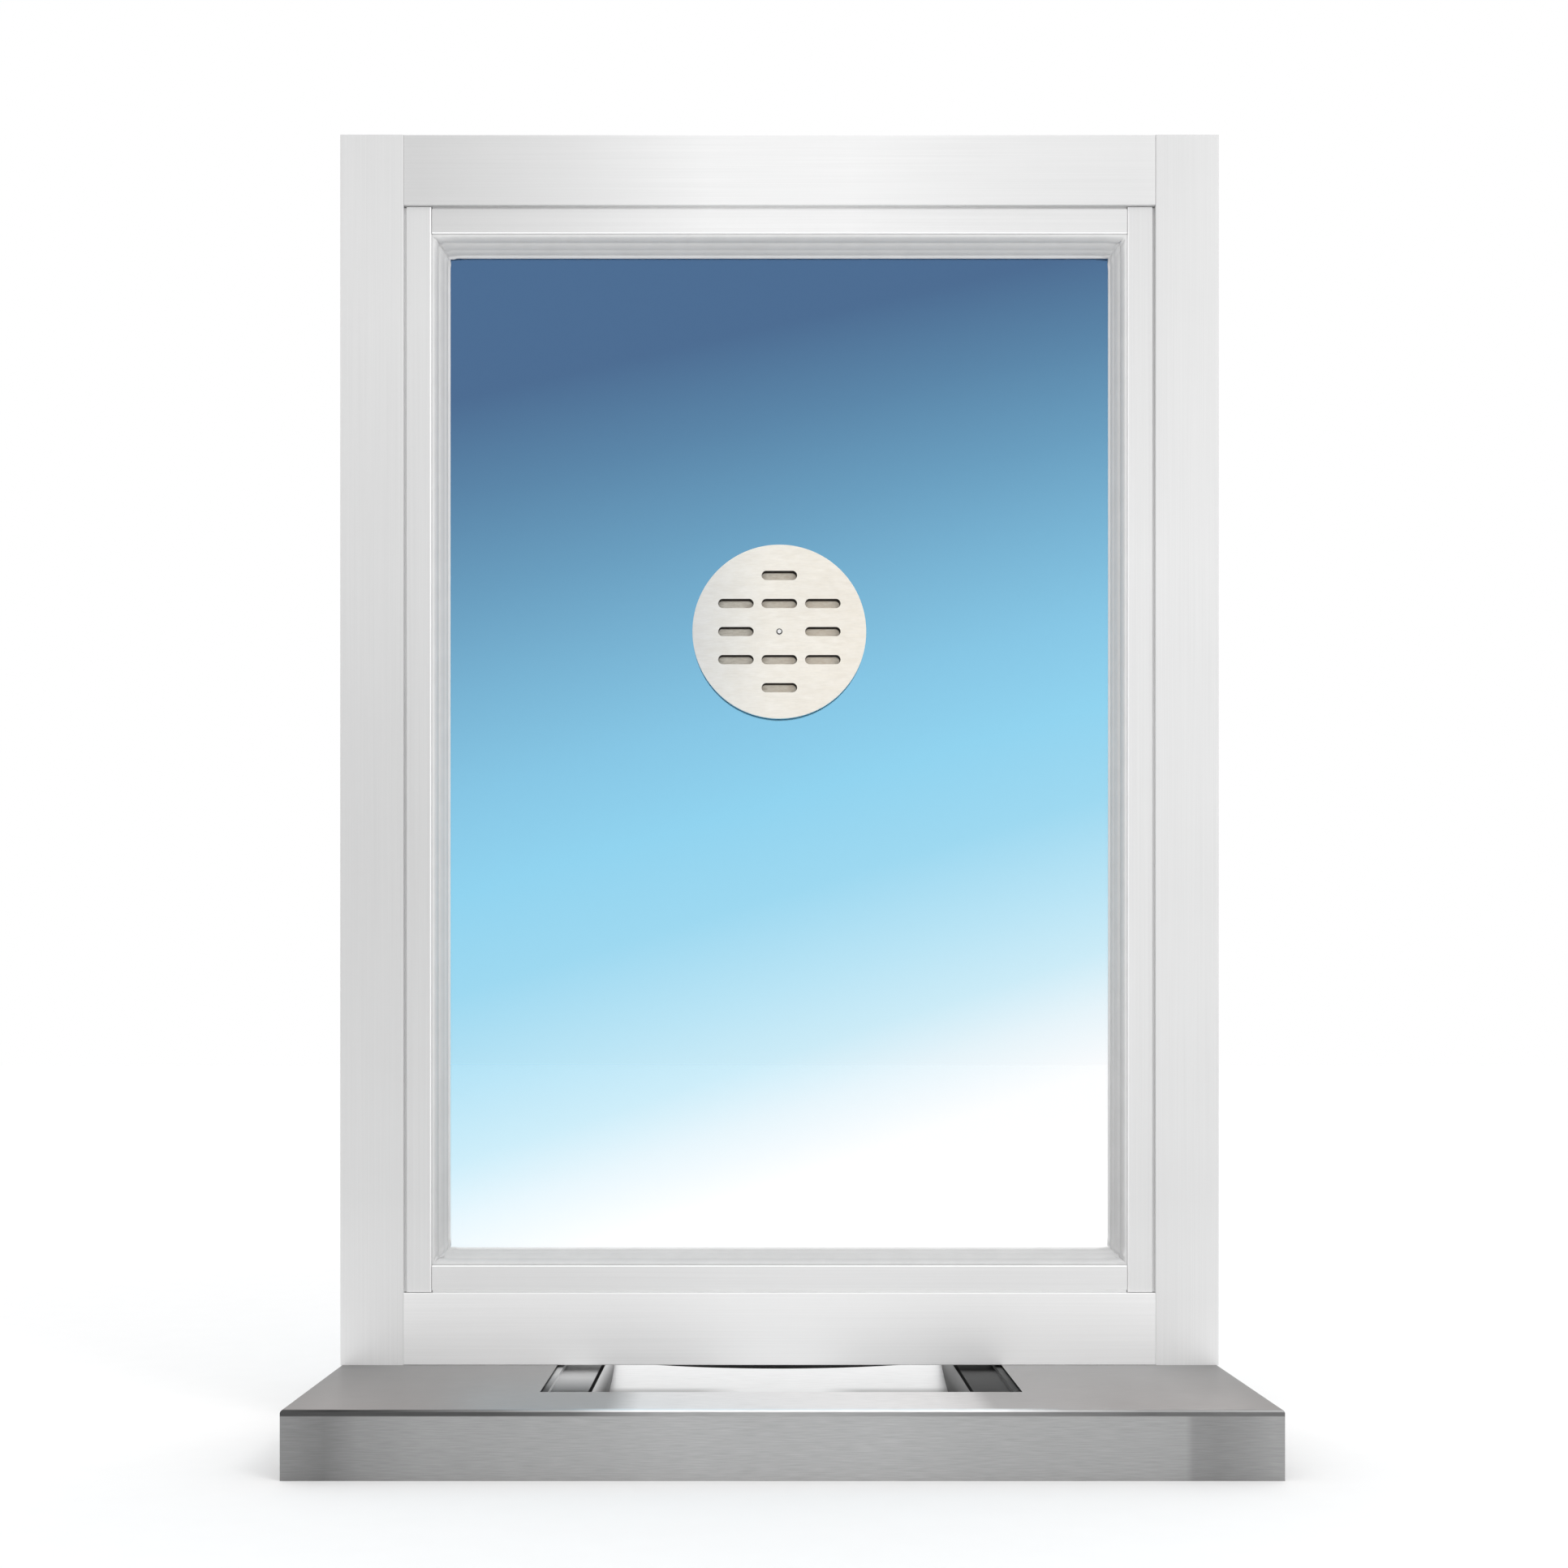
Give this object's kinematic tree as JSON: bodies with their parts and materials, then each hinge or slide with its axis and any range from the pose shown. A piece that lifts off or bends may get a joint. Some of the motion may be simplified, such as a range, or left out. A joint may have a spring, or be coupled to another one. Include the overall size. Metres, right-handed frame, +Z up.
{
  "type": "ticket window",
  "caption": "Fixed glazed transaction window with a slotted round speak-through, standing on a folded counter shelf with a curved deal tray under the sill.",
  "frame": {"origin": "the middle of the shelf's underside, on the surface that it stands on", "axes": "+Z up, X across the window with +X to the customer's right, and -Y towards the customer"},
  "size_m": [0.762, 0.4572, 1.1208],
  "materials": {
    "frame_aluminium": "satin anodised with fine drawing lines",
    "stop_aluminium": "satin anodised with fine drawing lines",
    "gasket_grey": "soft satin grey",
    "window_glass": "clear with a blue tint",
    "block_rubber": "matt black",
    "speak_steel": "horizontally brushed",
    "baffle_beige": "matt mottled beige",
    "fastener_steel": "bright zinc",
    "shelf_steel": "horizontally brushed",
    "tray_steel": "satin brushed",
    "clip_aluminium": "mill finish"
  },
  "bodies": {
    "root": {"left_jamb": "frame_aluminium", "right_jamb": "frame_aluminium", "head_rail": "frame_aluminium", "sill_rail": "frame_aluminium", "front_stop_left": "stop_aluminium", "front_stop_right": "stop_aluminium", "front_stop_head": "stop_aluminium", "front_stop_sill": "stop_aluminium", "rear_stop_left": "stop_aluminium", "rear_stop_right": "stop_aluminium", "rear_stop_head": "stop_aluminium", "rear_stop_sill": "stop_aluminium", "front_gasket": "gasket_grey", "rear_gasket": "gasket_grey", "glass_pane": "window_glass", "setting_blocks": "block_rubber", "speak_plate_front": "speak_steel", "speak_plate_rear": "speak_steel", "speak_washer_front": "gasket_grey", "speak_washer_rear": "gasket_grey", "speak_baffle": "baffle_beige", "speak_spacers": "fastener_steel", "speak_rivet": "fastener_steel", "speak_pin": "fastener_steel", "shelf_pan": "shelf_steel", "shelf_channel_left": "shelf_steel", "shelf_channel_right": "shelf_steel", "tray_scoop": "tray_steel", "tray_end_left": "tray_steel", "tray_end_right": "tray_steel", "tray_studs": "fastener_steel", "frame_bolts": "fastener_steel", "corner_clips": "clip_aluminium"}
  },
  "joints": []
}
